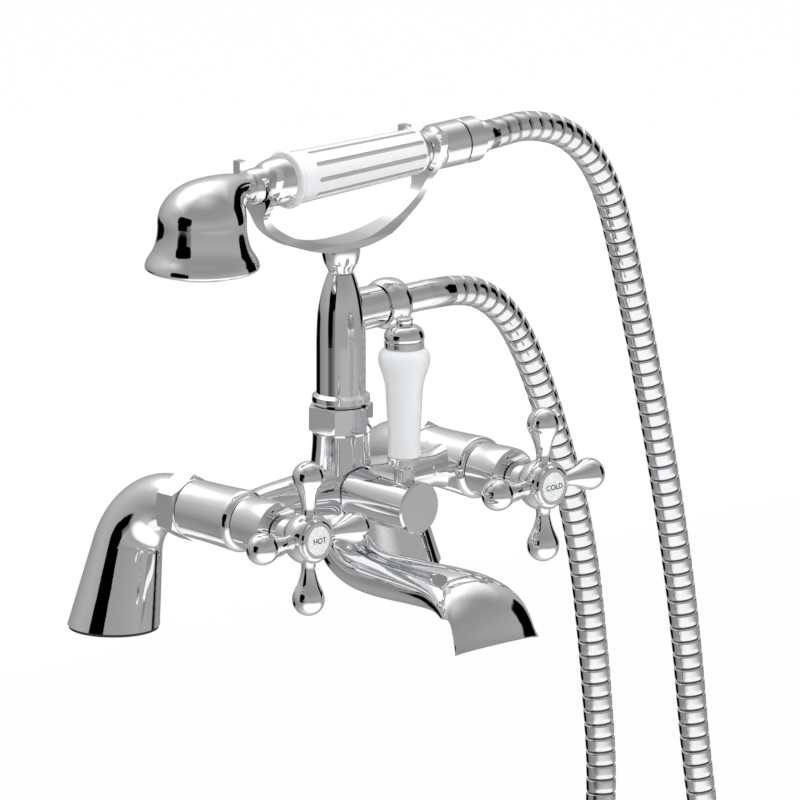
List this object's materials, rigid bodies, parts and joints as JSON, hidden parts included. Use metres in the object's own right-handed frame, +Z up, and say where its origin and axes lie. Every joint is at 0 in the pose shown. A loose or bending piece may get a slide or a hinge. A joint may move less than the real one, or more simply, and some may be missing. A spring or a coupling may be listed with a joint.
{
  "type": "bath shower mixer tap",
  "caption": "Deck-mounted bath and shower mixer with two crosshead valves, a lever diverter, and a ceramic-gripped handset on a metal hose, lying in a cradle on a riser column.",
  "frame": {"origin": "on the deck surface, midway between the two legs", "axes": "+X to the cold side, -Y to the front, towards the user, +Z up"},
  "size_m": [0.4287, 0.2056, 0.6932],
  "materials": {
    "chrome": "polished",
    "hose_chrome": "polished",
    "ceramic": "glossy",
    "technical_ceramic": "satin",
    "brass": "satin",
    "rubber": "matte",
    "white_plastic": "satin",
    "steel": "satin"
  },
  "bodies": {
    "tap": {"mixer_body": "chrome", "spout": "chrome", "spout_seal": "rubber", "union_washers": "rubber", "base_gaskets": "rubber", "backnut_washers": "steel", "valve_seat_seals": "rubber", "diverter_bush": "brass", "diverter_seal": "rubber", "riser_column": "chrome", "riser_nut": "chrome", "cradle": "chrome", "cradle_stud": "steel", "check_valve": "white_plastic", "outlet_nut": "chrome", "outlet_washer": "rubber", "hose_ferrule": "chrome", "shower_hose": "hose_chrome", "hot_leg": "chrome", "hot_leg_nut": "chrome", "hot_inlet_tail": "brass", "hot_backnut": "brass", "hot_fixed_disc": "technical_ceramic", "hot_cartridge": "brass", "hot_shroud": "chrome", "cold_leg": "chrome", "cold_leg_nut": "chrome", "cold_inlet_tail": "brass", "cold_backnut": "brass", "cold_fixed_disc": "technical_ceramic", "cold_cartridge": "brass", "cold_shroud": "chrome"},
    "hot_handle_set": {"hot_handle": "chrome", "hot_spindle": "brass", "hot_turning_disc": "technical_ceramic", "hot_handle_screw": "steel", "hot_index_ring": "chrome", "hot_index_disc": "ceramic"},
    "cold_handle_set": {"cold_handle": "chrome", "cold_spindle": "brass", "cold_turning_disc": "technical_ceramic", "cold_handle_screw": "steel", "cold_index_ring": "chrome", "cold_index_disc": "ceramic"},
    "diverter_set": {"diverter_knob": "chrome", "diverter_spindle": "brass", "lever_stem": "chrome", "lever_grip": "ceramic", "lever_cap": "chrome"},
    "handset": {"handset_head": "chrome", "rose_plate": "chrome", "rose_screw": "chrome", "grip_collar": "chrome", "handset_grip": "ceramic", "grip_tube": "brass", "rear_fitting": "chrome", "hose_nut": "chrome", "hose_washer": "rubber", "hose_collar": "chrome"}
  },
  "joints": [
    {"name": "hot_turn", "type": "hinge", "parent": "tap", "child": "hot_handle_set", "pos_m": [-0.08, -0.0635, 0.0661], "axis": [0, 1, 0], "range_deg": [0, 90]},
    {"name": "cold_turn", "type": "hinge", "parent": "tap", "child": "cold_handle_set", "pos_m": [0.08, -0.0635, 0.0661], "axis": [0, -1, 0], "range_deg": [0, 90]},
    {"name": "diverter_swing", "type": "hinge", "parent": "tap", "child": "diverter_set", "pos_m": [0, -0.0635, 0.0666], "axis": [0, 1, 0], "range_deg": [-45, 45]},
    {"name": "handset_lift", "type": "slide", "parent": "tap", "child": "handset", "axis": [0, 0, 1], "range_m": [0, 0.06], "deforming": ["shower_hose"]}
  ]
}
